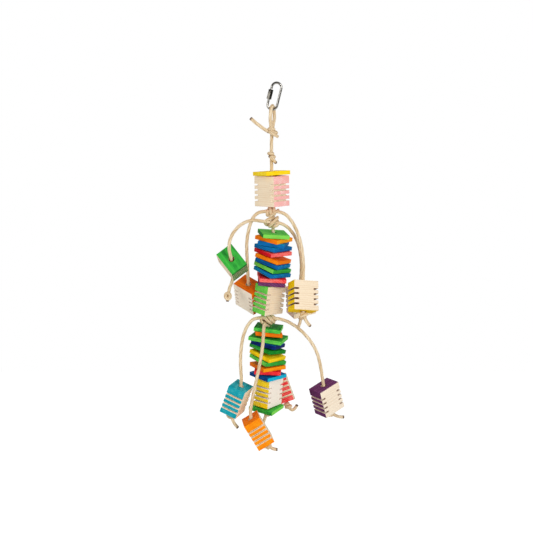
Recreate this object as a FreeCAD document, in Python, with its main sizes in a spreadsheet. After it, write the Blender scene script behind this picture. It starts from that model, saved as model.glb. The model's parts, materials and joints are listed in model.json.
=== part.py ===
import FreeCAD, Part
import math
import os
import Sketcher
from FreeCAD import Placement, Rotation, Vector

# A hanging chew toy for birds. A rope hangs from a quick link and carries a cap slat, a grooved
# top block, a stack of slats, a grooved centre block, a second stack and a grooved lower block on
# a base slat. Four side ropes are tied to it, two under the top block and two under the centre
# block. Each of their eight ends carries a grooved block that rests on a stopper knot.
# The origin is the hang point, inside the top bend of the quick link. X points right, Y points
# back, Z points up, and the sizes are in millimetres.

# Driving sizes, in millimetres and degrees.
SIZES = (
    ("slat_side", 44.5),
    ("slat_thickness", 6.35),
    ("long_slat_side", 57.0),
    ("hole_width", 9.5),
    ("block_width", 42.0),
    ("block_depth", 30.0),
    ("block_height", 49.0),
    ("top_block_depth", 38.0),
    ("kerf_height", 2.9),
    ("kerf_reach", 7.0),
    ("kerf_pitch", 8.4),
    ("kerf_margin", 12.5),
    ("kerf_count", 4),
    ("rest_gap", 0.25),
    ("rope_width", 5.6),
    ("rope_lead", 3.5),
    ("knot_width", 13.0),
    ("knot_height", 13.0),
    ("tie_width", 25.0),
    ("tie_depth", 14.0),
    ("upper_tie_height", 17.0),
    ("lower_tie_height", 20.0),
    ("loop_drop", 37.0),
    ("cap_knot_drop", 39.0),
    ("cap_slat_drop", 26.0),
    ("upper_slack", 7.0),
    ("link_wire", 4.0),
    ("link_length", 47.0),
    ("link_width", 19.3),
    ("link_lean", 14.0),
    ("link_gap_start", 6.0),
    ("link_gap", 5.0),
    ("nut_flats", 7.5),
    ("nut_length", 15.5),
    ("nut_start", 5.0),
    ("nut_clearance", 0.05),
    ("nut_bevel", 1.0),
)

# Each piece on the main rope: its turn about its own hole, how far it nods towards the viewer and
# leans to the right, in degrees, and its place along X.
CAP_SLAT = (30, -5, -3, -8.0)
TOP_BLOCK = (-42, -4, -1, -7.2)
UPPER_SLATS = (
    ("green", 12, 1, 6, -4.5),
    ("orange", -36, 2, 6, -4.0),
    ("blue", -12, 0, 7, -4.5),
    ("blue", -40, 0, 6, -5.0),
    ("red", -51, 2, 5, -5.3),
    ("orange", -31, 1, 14, -5.0),
    ("blue", -29, 2, 15, -5.5),
    ("green", -42, 3, 14, -6.0),
    ("blue", -48, 4, 12, -6.5),
    ("red", 6, 3, 5, -7.5),
    ("purple", 1, 2, 5, -8.0),
)
CENTRE_BLOCK = (44, 0, 7, -11.6)
LOWER_SLATS = (
    ("green", -8, -3, 5, -12.5),
    ("orange", 3, -7, 6, -13.0),
    ("long_green", -17, -1, 5, -13.0),
    ("dark_blue", -25, -6, 10, -13.5),
    ("dark_green", 49, -4, 13, -14.0),
    ("yellow", 51, 3, 14, -14.0),
    ("green", 40, 2, 11, -13.8),
    ("orange", 32, -1, 2, -14.0),
    ("red", -3, -4, 2, -13.5),
    ("blue", 44, 0, 3, -13.5),
)
LOWER_BLOCK = (55, -2, 4, -13.0)
BASE_SLAT = (62, 2, 4, -16.4)

# Each block on a side rope: its turn, nod and lean, and its centre measured from the tie knot.
UPPER_HANGING = {
    "green": ((-56, 64, -4), (-67.0, -28.0, -79.5)),
    "orange": ((-44, 30, -4), (-40.5, 28.5, -147.5)),
    "yellow": ((19, -25, 0), (48.5, -30.0, -136.0)),
    "pink": ((25, 12, -3), (47.0, 40.0, -160.0)),
}
LOWER_HANGING = {
    "teal": ((-109, 4, 19), (-52.5, -36.0, -127.5)),
    "orange": ((-82, 0, -30), (-16.8, -54.0, -176.5)),
    "purple": ((36, 9, -14), (100.0, -5.0, -137.0)),
    "red": ((-88, -19, -21), (24.5, 47.0, -139.5)),
}

doc = FreeCAD.newDocument("chew_toy")
sheet = doc.addObject("Spreadsheet::Sheet", "sizes")
for row, (alias, value) in enumerate(SIZES, 1):
    sheet.set(f"A{row}", alias.replace("_", " "))
    sheet.set(f"B{row}", str(value))
    sheet.setAlias(f"B{row}", alias)
doc.recompute()


def size(alias):
    return float(sheet.get(alias))


# Sketches and solids shared by the pieces


def origin_part(body, role):
    return next(part for part in body.Origin.OriginFeatures if part.Role == role)


def sketch_on(body, role, name):
    sketch = body.newObject("Sketcher::SketchObject", name)
    sketch.AttachmentSupport = [(origin_part(body, role), "")]
    sketch.MapMode = "FlatFace"
    return sketch


def bind(sketch, kind, ends, start, expression):
    number = sketch.addConstraint(Sketcher.Constraint(kind, *ends, start))
    sketch.setExpression(f"Constraints[{number}]", expression)


def draw_outline(sketch, corners):
    first = sketch.GeometryCount
    count = len(corners)
    for index in range(count):
        ends = Vector(*corners[index]), Vector(*corners[(index + 1) % count])
        sketch.addGeometry(Part.LineSegment(*ends), False)
    for index in range(count):
        joint = (first + index, 2, first + (index + 1) % count, 1)
        sketch.addConstraint(Sketcher.Constraint("Coincident", *joint))
    return first


def draw_rectangle(sketch, left, right, low, high):
    """A rectangle from four signed distances, each a pair of its value and its expression."""
    corners = (
        (left[0], low[0]),
        (right[0], low[0]),
        (right[0], high[0]),
        (left[0], high[0]),
    )
    first = draw_outline(sketch, corners)
    for side, kind in enumerate(("Horizontal", "Vertical", "Horizontal", "Vertical")):
        sketch.addConstraint(Sketcher.Constraint(kind, first + side))
    for kind, corner, (start, expression) in (
        ("DistanceX", 0, left),
        ("DistanceY", 0, low),
        ("DistanceX", 2, right),
        ("DistanceY", 2, high),
    ):
        bind(sketch, kind, (-1, 1, first + corner, 1), start, expression)


def draw_plate(sketch, width, depth):
    """A rectangle about the sketch's origin, with the drilled hole in it."""
    half_width = size(width) / 2
    half_depth = size(depth) / 2
    draw_rectangle(
        sketch,
        (-half_width, f"-sizes.{width} / 2"),
        (half_width, f"sizes.{width} / 2"),
        (-half_depth, f"-sizes.{depth} / 2"),
        (half_depth, f"sizes.{depth} / 2"),
    )
    draw_hole(sketch, size("hole_width") / 2, "sizes.hole_width / 2")


def draw_hole(sketch, radius, expression):
    circle = sketch.addGeometry(Part.Circle(Vector(), Vector(0, 0, 1), radius), False)
    sketch.addConstraint(Sketcher.Constraint("Coincident", circle, 3, -1, 1))
    number = sketch.addConstraint(Sketcher.Constraint("Radius", circle, radius))
    sketch.setExpression(f"Constraints[{number}]", expression)


def draw_polygon(sketch, sides, radius, expression, across=(0.0, "0")):
    """A regular polygon with an upright side, on a guide circle that lies on the X axis."""
    start, place_expression = across
    step = 2 * math.pi / sides
    corners = []
    for index in range(sides):
        angle = step * (index + 0.5)
        corners.append((start + radius * math.cos(angle), radius * math.sin(angle)))
    first = draw_outline(sketch, corners)
    circle = Part.Circle(Vector(start, 0, 0), Vector(0, 0, 1), radius)
    guide = sketch.addGeometry(circle, True)
    for index in range(sides):
        sketch.addConstraint(Sketcher.Constraint("PointOnObject", first + index, 1, guide))
    for index in range(first, first + sides - 1):
        sketch.addConstraint(Sketcher.Constraint("Equal", index, index + 1))
    sketch.addConstraint(Sketcher.Constraint("Vertical", first + sides - 1))
    number = sketch.addConstraint(Sketcher.Constraint("Radius", guide, radius))
    sketch.setExpression(f"Constraints[{number}]", expression)
    if start:
        sketch.addConstraint(Sketcher.Constraint("PointOnObject", guide, 3, -1))
        bind(sketch, "DistanceX", (-1, 1, guide, 3), start, place_expression)
    else:
        sketch.addConstraint(Sketcher.Constraint("Coincident", guide, 3, -1, 1))


def pad(body, sketch, length):
    feature = body.newObject("PartDesign::Pad", f"{body.Name}_pad")
    feature.Profile = sketch
    feature.Midplane = True
    feature.setExpression("Length", f"sizes.{length}")
    sketch.Visibility = False
    return feature


def slat(name, width="slat_side"):
    body = doc.addObject("PartDesign::Body", name)
    body.Label = name
    outline = sketch_on(body, "XY_Plane", f"{name}_outline")
    draw_plate(outline, width, "slat_side")
    pad(body, outline, "slat_thickness")
    return body


def grooved_block(name, depth="block_depth"):
    """A drilled block with saw kerfs in its two dyed sides, which face along X."""
    body = doc.addObject("PartDesign::Body", name)
    body.Label = name
    outline = sketch_on(body, "XY_Plane", f"{name}_outline")
    draw_plate(outline, "block_width", depth)
    pad(body, outline, "block_height")
    kerfs = sketch_on(body, "XZ_Plane", f"{name}_kerfs")
    outer = size("block_width") / 2
    inner = outer - size("kerf_reach")
    high = size("block_height") / 2 - size("kerf_margin")
    low = high - size("kerf_height")
    reach = "sizes.block_width / 2"
    floor = "sizes.block_width / 2 - sizes.kerf_reach"
    roof = "sizes.block_height / 2 - sizes.kerf_margin"
    bottom = f"{roof} - sizes.kerf_height"
    rise = ((low, bottom), (high, roof))
    draw_rectangle(kerfs, (-outer, f"-{reach}"), (-inner, f"-({floor})"), *rise)
    draw_rectangle(kerfs, (inner, floor), (outer, reach), *rise)
    cut = body.newObject("PartDesign::Pocket", f"{name}_cut")
    cut.Profile = kerfs
    cut.Type = "ThroughAll"
    cut.Midplane = True
    row_of_cuts = body.newObject("PartDesign::LinearPattern", f"{name}_cuts")
    row_of_cuts.Originals = [cut]
    row_of_cuts.Direction = (kerfs, ["V_Axis"])
    row_of_cuts.Reversed = True
    row_of_cuts.setExpression("Length", "sizes.kerf_pitch * (sizes.kerf_count - 1)")
    row_of_cuts.setExpression("Occurrences", "sizes.kerf_count")
    body.Tip = row_of_cuts
    kerfs.Visibility = False
    return body


def turned(turn, nod, lean):
    """The turn about the piece's own hole comes first, then the nod, then the lean."""
    nodded = Rotation(Vector(1, 0, 0), nod).multiply(Rotation(Vector(0, 0, 1), turn))
    return Rotation(Vector(0, 1, 0), lean).multiply(nodded)


# Spacing of the pieces on the rope. Two tilted plates touch where the smallest distance between
# their centres still leaves a plane between them, square to a face of one or to an edge of each.


def axes_of(rotation):
    return [rotation * Vector(*axis) for axis in ((1, 0, 0), (0, 1, 0), (0, 0, 1))]


def extent(axes, halves, normal):
    return sum(abs(axis.dot(normal)) * half for axis, half in zip(axes, halves))


def rest_distance(upper, lower):
    """Height between the centres of two pieces, so that one rests on the other."""
    upper_axes = axes_of(upper[0])
    lower_axes = axes_of(lower[0])
    normals = [upper_axes[2], lower_axes[2]]
    for across in upper_axes[:2]:
        for along in lower_axes[:2]:
            normal = across.cross(along)
            if normal.Length > 0.1:
                normals.append(normal.normalize())
    distances = []
    for normal in normals:
        rise = abs(normal.z)
        if rise > 0.5:
            reach = extent(upper_axes, upper[1], normal) + extent(lower_axes, lower[1], normal)
            distances.append((reach + size("rest_gap")) / rise)
    return min(distances)


def halves(width, depth, height):
    return tuple(size(name) / 2 for name in (width, depth, height))


SLAT = halves("slat_side", "slat_side", "slat_thickness")
LONG_SLAT = halves("long_slat_side", "slat_side", "slat_thickness")
BLOCK = halves("block_width", "block_depth", "block_height")
LARGE_BLOCK = halves("block_width", "top_block_depth", "block_height")
KNOT = halves("knot_width", "knot_width", "knot_height")
UPPER_TIE = halves("tie_width", "tie_depth", "upper_tie_height")
LOWER_TIE = halves("tie_width", "tie_depth", "lower_tie_height")
UPRIGHT = Rotation()

# Heights, from the hang point down

bend_radius = (size("link_width") - size("link_wire")) / 2
lean = math.radians(size("link_lean"))
link_top = Vector(0, 0, size("link_wire") - size("link_width") / 2)
link_axis = Vector(-math.sin(lean), 0, -math.cos(lean))
link_bottom = link_top + link_axis * (size("link_length") - size("link_width"))
swing_point = link_bottom - Vector(0, 0, bend_radius)

loop_knot = Vector(-5.5, 0, swing_point.z - size("loop_drop"))
cap_knot = Vector(-8.0, 0, loop_knot.z - size("cap_knot_drop"))

poses = {}


def place(name, pose, height):
    turn, nod, lean_angle, across = pose
    poses[name] = Placement(Vector(across, 0, height), turned(turn, nod, lean_angle))
    return poses[name]


def below(upper_name, upper_halves, name, pose, piece_halves, slack=0.0):
    """Place a piece under another one on the main rope."""
    upper = (poses[upper_name].Rotation, upper_halves)
    lower = (turned(*pose[:3]), piece_halves)
    height = poses[upper_name].Base.z - rest_distance(upper, lower) - slack
    return place(name, pose, height)


place("cap_slat", CAP_SLAT, cap_knot.z - size("cap_slat_drop"))
below("cap_slat", SLAT, "top_block", TOP_BLOCK, LARGE_BLOCK)
below("top_block", LARGE_BLOCK, "upper_tie_1", (0, 0, 0, -4.5), UPPER_TIE)
below("upper_tie_1", UPPER_TIE, "upper_tie_2", (0, 0, 0, -4.5), UPPER_TIE)


def place_stack(prefix, slats, above, above_halves, slack):
    """Place a stack of slats and return the name and the half sizes of the last one."""
    names = []
    for number, (colour, *pose) in enumerate(slats, 1):
        name = f"{prefix}_slat_{number:02d}_{colour}"
        own = LONG_SLAT if colour.startswith("long") else SLAT
        below(above, above_halves, name, pose, own, slack)
        above, above_halves, slack = name, own, 0.0
        names.append(name)
    return names


upper_names = place_stack("upper", UPPER_SLATS, "upper_tie_2", UPPER_TIE, size("upper_slack"))
below(upper_names[-1], SLAT, "centre_block", CENTRE_BLOCK, BLOCK)
below("centre_block", BLOCK, "lower_tie", (0, 0, 0, -13.5), LOWER_TIE)
lower_names = place_stack("lower", LOWER_SLATS, "lower_tie", LOWER_TIE, 0.0)
below(lower_names[-1], SLAT, "lower_block", LOWER_BLOCK, BLOCK)
below("lower_block", BLOCK, "base_slat", BASE_SLAT, SLAT)
below("base_slat", SLAT, "end_knot", (0, 0, 0, -17.0), KNOT)

upper_tie = poses["upper_tie_1"].Base
lower_tie = poses["lower_tie"].Base
for tier, tie, hanging in (
    ("upper", upper_tie, UPPER_HANGING),
    ("lower", lower_tie, LOWER_HANGING),
):
    for colour, (angles, offset) in hanging.items():
        centre = tie + Vector(*offset)
        poses[f"{tier}_{colour}_block"] = Placement(centre, turned(*angles))

# The wooden pieces

sub_parts = []
for name in ("cap_slat", *upper_names, *lower_names, "base_slat"):
    piece = slat(name, "long_slat_side" if "long" in name else "slat_side")
    piece.Placement = poses[name]
    sub_parts.append(piece)
for name in [name for name in poses if name.endswith("_block")]:
    piece = grooved_block(name, "top_block_depth" if name == "top_block" else "block_depth")
    piece.Placement = poses[name]
    sub_parts.append(piece)


# The quick link: a round wire bent to a long oval, open between two threaded ends on the left


def quick_link():
    body = doc.addObject("PartDesign::Body", "quick_link")
    body.Label = "quick_link"
    radius = bend_radius
    straight = size("link_length") - size("link_width")
    gap_top = -size("link_gap_start")
    gap_bottom = gap_top - size("link_gap")
    path = sketch_on(body, "XZ_Plane", "link_path")
    top = Vector()
    bottom = Vector(0, -straight, 0)
    lines = (
        Part.LineSegment(Vector(-radius, gap_top, 0), Vector(-radius, 0, 0)),
        Part.ArcOfCircle(Part.Circle(top, Vector(0, 0, 1), radius), 0, math.pi),
        Part.LineSegment(Vector(radius, 0, 0), Vector(radius, -straight, 0)),
        Part.ArcOfCircle(Part.Circle(bottom, Vector(0, 0, 1), radius), math.pi, 2 * math.pi),
        Part.LineSegment(Vector(-radius, -straight, 0), Vector(-radius, gap_bottom, 0)),
    )
    for line in lines:
        path.addGeometry(line, False)
    for first, first_end, second, second_end in (
        (0, 2, 1, 2),
        (1, 1, 2, 1),
        (2, 2, 3, 2),
        (3, 1, 4, 1),
    ):
        ends = (first, first_end, second, second_end)
        path.addConstraint(Sketcher.Constraint("Tangent", *ends))
    path.addConstraint(Sketcher.Constraint("Coincident", 1, 3, -1, 1))
    path.addConstraint(Sketcher.Constraint("Vertical", 0))
    path.addConstraint(Sketcher.Constraint("Vertical", 2))
    number = path.addConstraint(Sketcher.Constraint("Radius", 1, radius))
    path.setExpression(f"Constraints[{number}]", "(sizes.link_width - sizes.link_wire) / 2")
    number = path.addConstraint(Sketcher.Constraint("DistanceY", 2, 2, 2, 1, straight))
    path.setExpression(f"Constraints[{number}]", "sizes.link_length - sizes.link_width")
    number = path.addConstraint(Sketcher.Constraint("DistanceY", 0, 1, 0, 2, -gap_top))
    path.setExpression(f"Constraints[{number}]", "sizes.link_gap_start")
    number = path.addConstraint(Sketcher.Constraint("DistanceY", 4, 2, 0, 1, gap_top - gap_bottom))
    path.setExpression(f"Constraints[{number}]", "sizes.link_gap")
    section = sketch_on(body, "XY_Plane", "link_section")
    section.setExpression("AttachmentOffset.Base.z", "-sizes.link_gap_start")
    left = "-(sizes.link_width - sizes.link_wire) / 2"
    draw_polygon(section, 8, size("link_wire") / 2, "sizes.link_wire / 2", (-radius, left))
    doc.recompute()
    pipe = body.newObject("PartDesign::AdditivePipe", "link_wire_pipe")
    pipe.Profile = section
    pipe.Spine = path
    body.Placement = Placement(link_top, Rotation(Vector(0, 1, 0), size("link_lean")))
    return body


def link_nut():
    """The hexagonal sleeve nut, on the left side of the link, with both ends bevelled."""
    body = doc.addObject("PartDesign::Body", "link_nut")
    body.Label = "link_nut"
    corner = size("nut_flats") / math.sqrt(3)
    outline = sketch_on(body, "XY_Plane", "nut_outline")
    draw_polygon(outline, 6, corner, "sizes.nut_flats / sqrt(3)")
    bore = size("link_wire") / 2 + size("nut_clearance")
    draw_hole(outline, bore, "sizes.link_wire / 2 + sizes.nut_clearance")
    pad(body, outline, "nut_length")
    bevel = sketch_on(body, "XZ_Plane", "nut_bevels")
    half = size("nut_length") / 2
    flat = size("nut_flats") / 2
    beyond = flat + 2 * size("nut_bevel")
    for sign in (1, -1):
        corners = ((flat, sign * half), (beyond, sign * half), (beyond, sign * (half - beyond + flat)))
        start = draw_outline(bevel, corners)
        bevel.addConstraint(Sketcher.Constraint("Horizontal", start))
        bevel.addConstraint(Sketcher.Constraint("Vertical", start + 1))
        bind(bevel, "DistanceX", (-1, 1, start, 1), flat, "sizes.nut_flats / 2")
        bind(bevel, "DistanceX", (start, 1, start, 2), beyond - flat, "2 * sizes.nut_bevel")
        prefix = "" if sign > 0 else "-"
        height = f"{prefix}sizes.nut_length / 2"
        bind(bevel, "DistanceY", (-1, 1, start, 1), sign * half, height)
        drop = f"{'-' if sign > 0 else ''}sizes.nut_bevel"
        bind(bevel, "DistanceY", (start + 1, 1, start + 1, 2), -sign * size("nut_bevel"), drop)
    groove = body.newObject("PartDesign::Groove", "nut_groove")
    groove.Profile = bevel
    groove.ReferenceAxis = (bevel, ["V_Axis"])
    groove.Angle = 360
    body.Tip = groove
    middle = size("nut_start") + size("nut_length") / 2
    rotation = Rotation(Vector(0, 1, 0), size("link_lean"))
    centre = link_top + rotation * Vector(-bend_radius, 0, -middle)
    body.Placement = Placement(centre, rotation)
    return body


sub_parts.append(quick_link())
sub_parts.append(link_nut())


# Ropes: straight runs joined by tangent arcs, and an eight-sided section as large as the round one


def rope_path(points):
    """The wire through the route's points, with the radii of its arcs."""
    edges = []
    radii = []
    start = points[0]
    for before, corner, after in zip(points, points[1:], points[2:]):
        back = before - corner
        on = after - corner
        shorter = min(back.Length, on.Length)
        back.normalize()
        on.normalize()
        turn = math.pi - back.getAngle(on)
        reach = 0.45 * shorter
        radius = reach / math.tan(turn / 2)
        inward = back + on
        inward.normalize()
        first = corner + back * reach
        last = corner + on * reach
        middle = corner + inward * (radius / math.cos(turn / 2) - radius)
        edges.append(Part.LineSegment(start, first).toShape())
        edges.append(Part.Arc(first, middle, last).toShape())
        radii.append(radius)
        start = last
    edges.append(Part.LineSegment(start, points[-1]).toShape())
    return Part.Wire(edges), radii


SECTION_SIDES = 6


def rope_section(centre, direction):
    area = math.pi * size("rope_width") ** 2 / 4
    step = 2 * math.pi / SECTION_SIDES
    radius = math.sqrt(2 * area / (SECTION_SIDES * math.sin(step)))
    facing = Rotation(Vector(0, 0, 1), direction)
    ring = []
    for index in range(SECTION_SIDES + 1):
        angle = step * (index + 0.5)
        ring.append(centre + facing * Vector(radius * math.cos(angle), radius * math.sin(angle), 0))
    return Part.makePolygon(ring), area


def rope_solid(name, points):
    path, radii = rope_path(points)
    section, area = rope_section(points[0], points[1] - points[0])
    solid = path.makePipeShell([section], True, False)
    error = solid.Volume / (area * path.Length) - 1
    print(f"{name}: length {path.Length:.0f}, radii", *[round(radius) for radius in radii])
    if abs(error) > 0.01:
        raise ValueError(f"{name} has {error:.1%} more volume than its section times its length")
    return solid


def rope(name, *routes):
    feature = doc.addObject("Part::Feature", name)
    feature.Label = name
    solids = [rope_solid(name, points) for points in routes]
    feature.Shape = solids[0] if len(solids) == 1 else Part.makeCompound(solids)
    feature.Placement = Placement()
    return feature


STOPPER = Vector(0, 0, -(size("block_height") + size("knot_height")) / 2 - size("rest_gap"))
LOOSE = Vector(0.7, 0.4, 2.0)
PINCHED = Vector(0.4, -1.6, 2.0)


def threaded(block, corner, tail, inside=LOOSE):
    """The route over a hanging block and through its hole, down to where the rope bends."""
    pose = poses[block]
    end = size("block_height") / 2
    bend = pose.multVec(Vector(0, 0, -end - corner))
    route = [pose.multVec(Vector(0, 0, end + size("rope_lead"))), pose.multVec(inside), bend]
    return route + from_point(bend, tail)


def from_point(point, offsets):
    return [point + Vector(*offset) for offset in offsets]


# Each side rope, measured from its tie knot, from over its first block to over its second block.
UPPER_ORANGE_TO_YELLOW = (
    (-43.5, -5.0, -80.0),
    (-44.5, -6.5, -49.0),
    (-39.5, -6.8, -22.0),
    (-31.0, -7.0, -3.5),
    (-17.0, -7.1, 2.0),
    (11.5, -7.1, 1.0),
    (24.0, -7.0, -6.5),
    (36.0, -7.2, -25.0),
    (45.0, -8.0, -50.0),
    (49.5, -10.0, -82.0),
)
UPPER_GREEN_TO_PINK = (
    (-71.0, -61.5, -52.5),
    (-70.5, -60.0, -37.0),
    (-63.5, -47.0, -24.0),
    (-50.5, -30.0, -14.0),
    (-33.5, -15.0, -11.0),
    (-17.0, -7.4, -15.5),
    (11.0, -6.8, -17.5),
    (24.0, -3.0, -25.5),
    (36.5, 6.0, -43.0),
    (44.5, 17.0, -67.5),
    (48.0, 31.0, -98.0),
)
LOWER_TEAL_TO_PURPLE = (
    (-46.3, -28.0, -68.0),
    (-45.0, -20.0, -42.0),
    (-39.5, -13.0, -16.0),
    (-28.5, -8.0, 0.5),
    (-17.0, -6.5, 5.0),
    (13.0, -6.5, 4.0),
    (31.0, -6.3, -0.5),
    (50.0, -6.0, -12.5),
    (68.0, -6.0, -30.5),
    (82.0, -7.0, -53.0),
    (89.0, -8.0, -80.0),
)
LOWER_ORANGE_TO_RED = (
    (-26.5, -47.5, -126.0),
    (-20.0, -41.5, -95.0),
    (-13.5, -38.5, -66.0),
    (-9.0, -37.0, -38.0),
    (-7.5, -34.5, -13.5),
    (-6.5, -20.0, -3.5),
    (-6.5, 16.0, -4.5),
    (-4.8, 34.0, -11.5),
    (-0.5, 45.0, -33.0),
    (5.0, 51.0, -62.0),
    (10.5, 54.5, -92.0),
)

# The ends of each side rope: the block, how far below it the rope bends, and its tail from there.
# The green block has slid up its rope, which is pinched in the hole and carries it.
BELOW_KNOT = size("knot_height") + 2.0
SIDE_ROPES = (
    (
        "upper_rope_1",
        upper_tie,
        ("upper_orange_block", BELOW_KNOT, ((8.4, -2.0, -3.0),)),
        UPPER_ORANGE_TO_YELLOW,
        ("upper_yellow_block", BELOW_KNOT, ((11.8, 5.0, -10.8),)),
    ),
    (
        "upper_rope_2",
        upper_tie,
        (
            "upper_green_block",
            11.0,
            ((-2.0, -2.0, -22.0), (-9.0, -3.5, -37.5), (-11.0, -4.0, -57.0)),
            PINCHED,
        ),
        UPPER_GREEN_TO_PINK,
        ("upper_pink_block", BELOW_KNOT, ((-6.0, -3.0, -12.0),)),
    ),
    (
        "lower_rope_1",
        lower_tie,
        ("lower_teal_block", BELOW_KNOT, ((14.9, -1.0, -15.0),)),
        LOWER_TEAL_TO_PURPLE,
        ("lower_purple_block", BELOW_KNOT, ((21.5, -1.0, 1.0),)),
    ),
    (
        "lower_rope_2",
        lower_tie,
        ("lower_orange_block", BELOW_KNOT, ((13.0, 0.0, 0.5),)),
        LOWER_ORANGE_TO_RED,
        ("lower_red_block", BELOW_KNOT, ((9.3, 1.0, 0.4), (13.3, 2.0, 9.4))),
    ),
)
ropes = {}
stoppers = {}
for name, tie, first_end, offsets, last_end in SIDE_ROPES:
    first_route = threaded(*first_end)
    last_route = threaded(*last_end)
    ropes[name] = rope(name, first_route[::-1] + from_point(tie, offsets) + last_route)
    for block in (first_end[0], last_end[0]):
        stoppers[block] = poses[block].multiply(Placement(STOPPER, UPRIGHT))

# The stopper knot of the green block hangs free near the rope's end.
above_knot, rope_end = threaded(*SIDE_ROPES[1][2])[-2:]
fall = rope_end - above_knot
stoppers["upper_green_block"] = Placement(above_knot + fall * 0.48, Rotation(Vector(0, 0, -1), fall))


def height_of(name, above=0.0):
    return poses[name].Base.z + above


# The main rope, from its lower end up: its tail and end knot, through the pieces of the axis and
# the knots, and up to the loop that hangs over the bottom wire of the link.
end_knot = poses["end_knot"].Base
loop_side = size("link_wire") / 2 + size("rope_width") / 2 + 1.0
main_route = [
    end_knot + Vector(-6.5, -3.0, -20.0),
    end_knot + Vector(0, 0, -9.0),
    Vector(-14.4, -0.3, height_of("lower_block", -14)),
    Vector(-11.9, 0.5, height_of("lower_block", 20)),
    Vector(-13.8, 0, height_of(lower_names[5])),
    Vector(-12.9, 0.3, height_of(lower_names[1])),
    Vector(-13.8, 0, height_of("centre_block", -18)),
    Vector(-9.0, 0.2, height_of("centre_block", 20)),
    Vector(-6.0, 0, height_of(upper_names[6])),
    Vector(-4.6, 0.4, height_of(upper_names[0], -4)),
    Vector(-6.8, -0.6, height_of("top_block", -19)),
    Vector(-7.5, 1.2, height_of("top_block", 20)),
    Vector(-8.4, 1.5, loop_knot.z - 14),
    loop_knot + Vector(-1.0, 3.3, 7.5),
    swing_point + Vector(4.0, 6.2, -13.0),
    swing_point + Vector(1.6, loop_side, loop_side),
    swing_point + Vector(-1.6, -loop_side, loop_side),
    swing_point + Vector(-3.8, -6.2, -12.5),
    loop_knot + Vector(-3.4, -3.3, 9.0),
    loop_knot + Vector(-2.4, -3.3, -2.0),
]
loop_tail = [
    loop_knot + Vector(-6.1, -2.0, 1.0),
    loop_knot + Vector(-20.0, -3.0, 9.0),
    loop_knot + Vector(-36.5, -1.0, 23.5),
]
ropes["main_rope"] = rope("main_rope", main_route, loop_tail)
sub_parts.extend(ropes.values())


# Knots: eight-sided beads as large as the tied knots, bored where the ropes run through them


def bead(centre, rotation, across, deep, tall):
    """An eight-sided bead with bevelled ends, made of flat faces, about its own upright axis."""
    rings = []
    for level, share in ((-0.5, 0.62), (-0.22, 1.0), (0.22, 1.0), (0.5, 0.62)):
        ring = []
        for index in range(8):
            angle = math.pi * (index + 0.5) / 4
            side = Vector(across / 2 * math.cos(angle), deep / 2 * math.sin(angle), 0) * share
            ring.append(side + Vector(0, 0, level * tall))
        rings.append(ring)
    outlines = [rings[0], rings[-1]]
    for low, high in zip(rings, rings[1:]):
        for index in range(8):
            following = (index + 1) % 8
            outlines.append([low[index], low[following], high[following], high[index]])
    faces = [Part.Face(Part.makePolygon(corners + corners[:1])) for corners in outlines]
    solid = Part.makeSolid(Part.makeShell(faces))
    solid.Placement = Placement(centre, rotation)
    return solid


def knots(name, beads, through):
    """One sub-part that holds the beads, each cut by the ropes that run through it."""
    feature = doc.addObject("Part::Feature", name)
    feature.Label = name
    bored = []
    for solid in beads:
        for rope_name in through:
            solid = solid.cut(ropes[rope_name].Shape)
        bored.append(max(solid.Solids, key=lambda piece: piece.Volume))
    feature.Shape = Part.makeCompound(bored)
    feature.Placement = Placement()
    sub_parts.append(feature)


knot = (size("knot_width"), size("knot_width"), size("knot_height"))
tie_shift = Vector(-1.5, -3.2, 0)
upper_ties = [
    bead(poses[name].Base + tie_shift, UPRIGHT, *[2 * half for half in UPPER_TIE])
    for name in ("upper_tie_1", "upper_tie_2")
]
lower_ties = [bead(lower_tie + tie_shift, UPRIGHT, *[2 * half for half in LOWER_TIE])]
knots("upper_tie_knots", upper_ties, ("main_rope", "upper_rope_1", "upper_rope_2"))
knots("lower_tie_knot", lower_ties, ("main_rope", "lower_rope_1", "lower_rope_2"))
rope_knots = [
    bead(loop_knot, UPRIGHT, *knot),
    bead(cap_knot, UPRIGHT, *knot),
    bead(end_knot, UPRIGHT, *knot),
]
knots("main_rope_knots", rope_knots, ("main_rope",))
for tier in ("upper", "lower"):
    beads = []
    for block, pose in stoppers.items():
        if block.startswith(tier):
            beads.append(bead(pose.Base, pose.Rotation, *knot))
    knots(f"{tier}_stopper_knots", beads, (f"{tier}_rope_1", f"{tier}_rope_2"))

# Check and write the sub-parts

doc.recompute()
for item in doc.Objects:
    faults = [state for state in item.State if state in ("Invalid", "Error")]
    if faults:
        raise ValueError(f"{item.Label} is {faults}")
for piece in sub_parts:
    if piece.Shape.isNull() or not piece.Shape.isValid() or not piece.Shape.Solids:
        raise ValueError(f"{piece.Label} has no valid solid")
os.makedirs("parts", exist_ok=True)
for piece in sub_parts:
    piece.Shape.exportStep(f"parts/{piece.Label}.step")
print(len(sub_parts), "sub-parts")
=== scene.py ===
# %% [markdown]
# # A hanging chew toy for birds
#
# The real toy is a string of dyed pine slats and saw-cut blocks on a twisted rope. More blocks
# hang beside it on side ropes, and a steel quick link at the top holds it on a cage bar.
#
# Its solids come from a CAD model, which is the fixed frame of this scene and is never moved. Each
# cell adds looks to it: first a camera and soft light, then the ropes, the knots, the wooden pieces
# and the quick link. Everything is in metres, with Z up and the hang point at the origin.

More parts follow.
